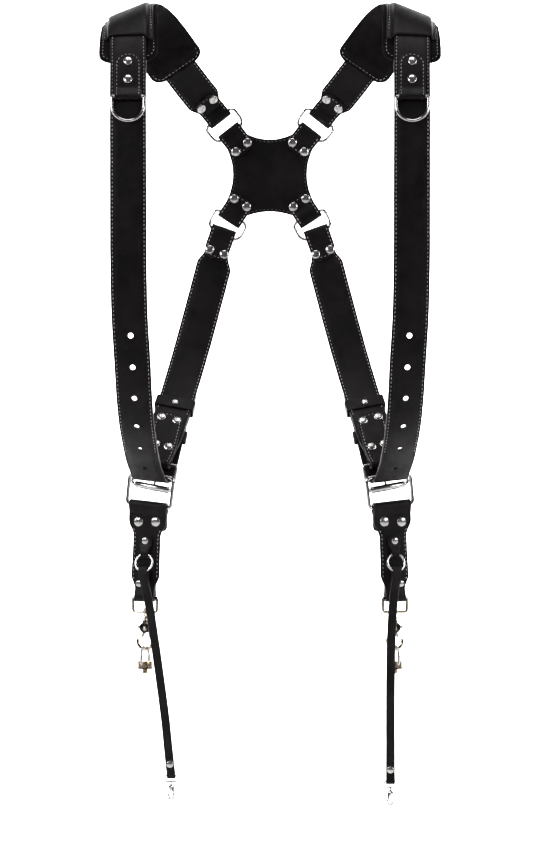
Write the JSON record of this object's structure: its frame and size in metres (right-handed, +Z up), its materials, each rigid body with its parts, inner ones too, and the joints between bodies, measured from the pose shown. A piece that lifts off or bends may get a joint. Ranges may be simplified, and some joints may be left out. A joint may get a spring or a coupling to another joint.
{
  "type": "dual camera harness",
  "caption": "Leather harness with padded shoulder straps, a cross patch at the back and a hanger, snap hook, screw connector and safety tether at each hip.",
  "frame": {"origin": "midway between the undersides of the two shoulder pads, at their crests", "axes": "+Z up the wearer, -Y the way the wearer faces, +X to the right of the front view"},
  "size_m": [0.3576, 0.2118, 0.8545],
  "materials": {
    "leather": "black smooth leather with a soft sheen",
    "padding": "black suede over foam",
    "nickel": "polished nickel plate",
    "steel": "brushed and turned steel",
    "rubber": "black rubber"
  },
  "bodies": {
    "harness": {"cross_patch": "leather", "left_main_strap": "leather", "left_shoulder_pad": "padding", "left_pad_band": "leather", "left_chest_tab": "leather", "left_lower_back_strap": "leather", "left_upper_keeper": "leather", "left_lower_keeper": "leather", "left_hanger": "leather", "left_ring_strip": "leather", "left_upper_back_ring": "nickel", "left_lower_back_ring": "nickel", "left_buckle_frame": "nickel", "left_buckle_roller": "nickel", "left_buckle_prong": "nickel", "left_hip_ring": "nickel", "left_round_ring": "nickel", "left_tether": "leather", "left_tether_hook_eye": "nickel", "right_main_strap": "leather", "right_shoulder_pad": "padding", "right_pad_band": "leather", "right_chest_tab": "leather", "right_lower_back_strap": "leather", "right_upper_keeper": "leather", "right_lower_keeper": "leather", "right_hanger": "leather", "right_ring_strip": "leather", "right_upper_back_ring": "nickel", "right_lower_back_ring": "nickel", "right_buckle_frame": "nickel", "right_buckle_roller": "nickel", "right_buckle_prong": "nickel", "right_hip_ring": "nickel", "right_round_ring": "nickel", "right_tether": "leather", "right_tether_hook_eye": "nickel"},
    "left_chest_ring_swing": {"left_chest_ring": "nickel"},
    "left_hook_link": {"left_hook_ring": "nickel", "left_hook_eye": "nickel"},
    "left_hook_swivel": {"left_hook_body": "nickel", "left_connector_bail": "steel"},
    "left_hook_gate": {"left_hook_lever": "nickel"},
    "left_connector": {"left_connector_drum": "steel", "left_connector_washer": "rubber"},
    "left_tether_hook": {"left_tether_hook_body": "nickel", "left_split_ring": "nickel"},
    "left_tether_gate": {"left_tether_hook_lever": "nickel"},
    "right_chest_ring_swing": {"right_chest_ring": "nickel"},
    "right_hook_link": {"right_hook_ring": "nickel", "right_hook_eye": "nickel"},
    "right_hook_swivel": {"right_hook_body": "nickel", "right_connector_bail": "steel"},
    "right_hook_gate": {"right_hook_lever": "nickel"},
    "right_connector": {"right_connector_drum": "steel", "right_connector_washer": "rubber"},
    "right_tether_hook": {"right_tether_hook_body": "nickel", "right_split_ring": "nickel"},
    "right_tether_gate": {"right_tether_hook_lever": "nickel"}
  },
  "joints": [
    {"name": "left_chest_ring_hinge", "type": "hinge", "parent": "harness", "child": "left_chest_ring_swing", "pos_m": [-0.14757, -0.08287, -0.08524], "axis": [1, 0.0005, 0.0044], "range_deg": [-130, 0]},
    {"name": "left_hook_ring_hinge", "type": "hinge", "parent": "harness", "child": "left_hook_link", "pos_m": [-0.13174, -0.00049, -0.6077], "axis": [0.9511, -0.309, 0], "range_deg": [-6, 70]},
    {"name": "left_hook_swivel_joint", "type": "hinge", "parent": "left_hook_link", "child": "left_hook_swivel", "pos_m": [-0.13174, -0.00049, -0.6235], "axis": [0, 0, 1], "continuous": true},
    {"name": "left_hook_gate_hinge", "type": "hinge", "parent": "left_hook_swivel", "child": "left_hook_gate", "pos_m": [-0.13079, -0.00079, -0.64085], "axis": [0.309, 0.9511, 0], "range_deg": [-26, 0], "stiffness_Nm_per_rad": 0.02},
    {"name": "left_connector_hinge", "type": "hinge", "parent": "left_hook_swivel", "child": "left_connector", "pos_m": [-0.13174, -0.00049, -0.67853], "axis": [0.309, 0.9511, 0], "range_deg": [-90, 90]},
    {"name": "left_tether_hook_swivel_joint", "type": "hinge", "parent": "harness", "child": "left_tether_hook", "pos_m": [-0.10371, -0.02904, -0.79845], "axis": [0, 0, 1], "continuous": true},
    {"name": "left_tether_gate_hinge", "type": "hinge", "parent": "left_tether_hook", "child": "left_tether_gate", "pos_m": [-0.10336, -0.02942, -0.80739], "axis": [0.7431, 0.6691, 0], "range_deg": [-26, 0], "stiffness_Nm_per_rad": 0.01},
    {"name": "right_chest_ring_hinge", "type": "hinge", "parent": "harness", "child": "right_chest_ring_swing", "pos_m": [0.14757, -0.08287, -0.08524], "axis": [1, -0.0005, -0.0044], "range_deg": [-130, 0]},
    {"name": "right_hook_ring_hinge", "type": "hinge", "parent": "harness", "child": "right_hook_link", "pos_m": [0.13174, -0.00049, -0.6077], "axis": [0.9511, 0.309, 0], "range_deg": [-6, 70]},
    {"name": "right_hook_swivel_joint", "type": "hinge", "parent": "right_hook_link", "child": "right_hook_swivel", "pos_m": [0.13174, -0.00049, -0.6235], "axis": [0, 0, -1], "continuous": true},
    {"name": "right_hook_gate_hinge", "type": "hinge", "parent": "right_hook_swivel", "child": "right_hook_gate", "pos_m": [0.13079, -0.00079, -0.64085], "axis": [0.309, -0.9511, 0], "range_deg": [-26, 0], "stiffness_Nm_per_rad": 0.02},
    {"name": "right_connector_hinge", "type": "hinge", "parent": "right_hook_swivel", "child": "right_connector", "pos_m": [0.13174, -0.00049, -0.67853], "axis": [0.309, -0.9511, 0], "range_deg": [-90, 90]},
    {"name": "right_tether_hook_swivel_joint", "type": "hinge", "parent": "harness", "child": "right_tether_hook", "pos_m": [0.12631, -0.02904, -0.80445], "axis": [0, 0, -1], "continuous": true},
    {"name": "right_tether_gate_hinge", "type": "hinge", "parent": "right_tether_hook", "child": "right_tether_gate", "pos_m": [0.12596, -0.02942, -0.81339], "axis": [0.7431, -0.6691, 0], "range_deg": [-26, 0], "stiffness_Nm_per_rad": 0.01}
  ]
}
